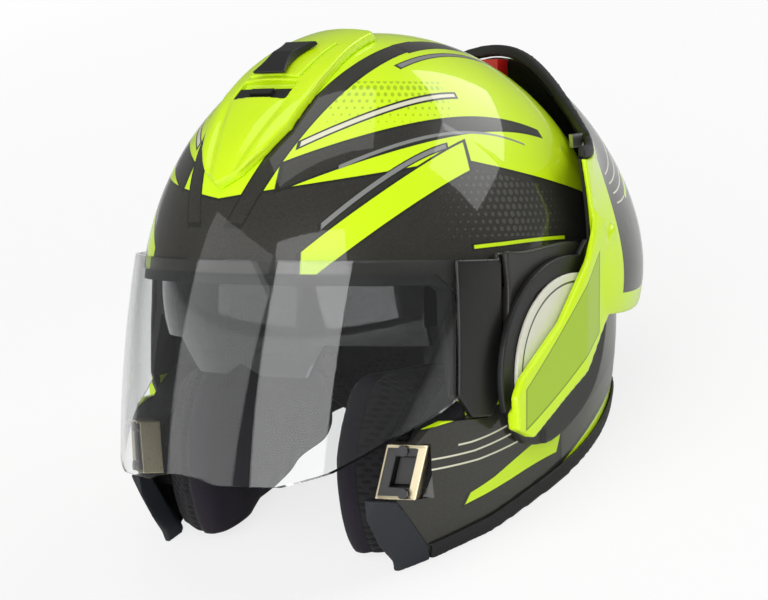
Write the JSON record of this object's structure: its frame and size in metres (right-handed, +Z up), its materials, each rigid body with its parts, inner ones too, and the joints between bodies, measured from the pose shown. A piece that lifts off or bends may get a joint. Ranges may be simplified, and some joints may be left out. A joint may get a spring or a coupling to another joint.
{
  "type": "modular motorcycle helmet",
  "caption": "Modular motorcycle helmet with a flip-back chin bar parked behind the crown, a hinged clear visor, an inner sun visor and padded lining.",
  "frame": {"origin": "bottom centre of the bounding box, on the ground under the rim", "axes": "+X to the wearer's left, +Y to the wearer's back, +Z up as the helmet stands on its rim; the helmet is tipped back 22 degrees from its worn attitude"},
  "size_m": [0.261, 0.3422, 0.2392],
  "materials": {
    "shell_paint": "gloss",
    "graphite": "gloss",
    "dark_plastic": "satin",
    "rubber": "matt",
    "foam": "matt",
    "lining": "velour",
    "webbing": "woven",
    "steel": "satin",
    "latch_metal": "satin",
    "red_plastic": "satin",
    "cream": "gloss",
    "clear": "clear",
    "smoke": "smoke tint"
  },
  "bodies": {
    "helmet": {"outer_shell": "shell_paint", "rim_trim": "rubber", "eyeport_seal": "rubber", "foam_liner": "foam", "crown_lining": "lining", "cheek_pad_left": "lining", "cheek_pad_right": "lining", "neck_roll": "lining", "jaw_cover_left": "rubber", "jaw_cover_right": "rubber", "latch_striker_left": "latch_metal", "latch_striker_right": "latch_metal", "striker_screws": "steel", "chin_strap_left": "webbing", "chin_strap_right": "webbing", "strap_rivets": "steel", "buckle_body": "dark_plastic", "pivot_housing_left": "graphite", "pivot_housing_right": "graphite", "pivot_pins": "steel", "visor_pins": "steel", "sun_visor_pins": "steel", "vent_cowl": "shell_paint", "slider_track": "dark_plastic"},
    "visor_unit": {"visor": "clear", "visor_bracket_left": "dark_plastic", "visor_bracket_right": "dark_plastic"},
    "sun_visor_unit": {"sun_visor": "smoke"},
    "sun_visor_grip": {"sun_visor_slider": "dark_plastic"},
    "forehead_vent": {"vent_shutter": "dark_plastic"},
    "strap_lever": {"buckle_lever": "red_plastic"},
    "chin_bar": {"chin_bar_shell": "graphite", "chin_bar_liner": "dark_plastic", "chin_lip_trim": "rubber", "chin_vent": "dark_plastic", "pivot_plate_left": "dark_plastic", "pivot_plate_right": "dark_plastic", "pivot_cover_left": "cream", "pivot_cover_right": "cream"},
    "chin_vent_plate": {"chin_vent_shutter": "dark_plastic"},
    "button": {"release_button": "red_plastic"},
    "hook_left": {"latch_hook_left": "steel"},
    "hook_right": {"latch_hook_right": "steel"}
  },
  "joints": [
    {"name": "chin_bar_hinge", "type": "hinge", "parent": "helmet", "child": "chin_bar", "pos_m": [0, -0.01266, 0.09402], "axis": [1, 0, 0], "range_deg": [0, 172]},
    {"name": "visor_hinge", "type": "hinge", "parent": "helmet", "child": "visor_unit", "pos_m": [0, 0.03481, 0.10073], "axis": [-1, 0, 0], "range_deg": [0, 50]},
    {"name": "sun_visor_hinge", "type": "hinge", "parent": "helmet", "child": "sun_visor_unit", "pos_m": [0, -0.00456, 0.09938], "axis": [-1, 0, 0], "range_deg": [0, 38]},
    {"name": "sun_visor_slide", "type": "slide", "parent": "helmet", "child": "sun_visor_grip", "axis": [0, 0.9868, 0.1622], "range_m": [0, 0.009]},
    {"name": "vent_slide", "type": "slide", "parent": "helmet", "child": "forehead_vent", "axis": [0, 0.9376, 0.3477], "range_m": [0, 0.005]},
    {"name": "buckle_hinge", "type": "hinge", "parent": "helmet", "child": "strap_lever", "pos_m": [-0.0132, 0.01597, 0.01138], "axis": [0, -0.9272, 0.3746], "range_deg": [0, 60], "stiffness_Nm_per_rad": 0.02},
    {"name": "chin_vent_slide", "type": "slide", "parent": "chin_bar", "child": "chin_vent_plate", "axis": [1, 0, 0], "range_m": [-0.003, 0.003]},
    {"name": "button_press", "type": "slide", "parent": "chin_bar", "child": "button", "axis": [0, 0.9272, -0.3746], "range_m": [0, 0.003], "stiffness_N_per_m": 1500},
    {"name": "hook_turn_left", "type": "hinge", "parent": "chin_bar", "child": "hook_left", "pos_m": [0.09451, 0.08269, 0.14909], "axis": [0, -0.2419, -0.9703], "range_deg": [0, 8]},
    {"name": "hook_turn_right", "type": "hinge", "parent": "chin_bar", "child": "hook_right", "pos_m": [-0.09451, 0.08269, 0.14909], "axis": [0, 0.2419, 0.9703], "range_deg": [0, 8]}
  ],
  "couplings": [
    {"joint": "sun_visor_slide", "follows": "sun_visor_hinge", "m_per_rad": 0.01357},
    {"joint": "hook_turn_left", "follows": "button_press", "rad_per_m": 46.542},
    {"joint": "hook_turn_right", "follows": "button_press", "rad_per_m": 46.542}
  ]
}
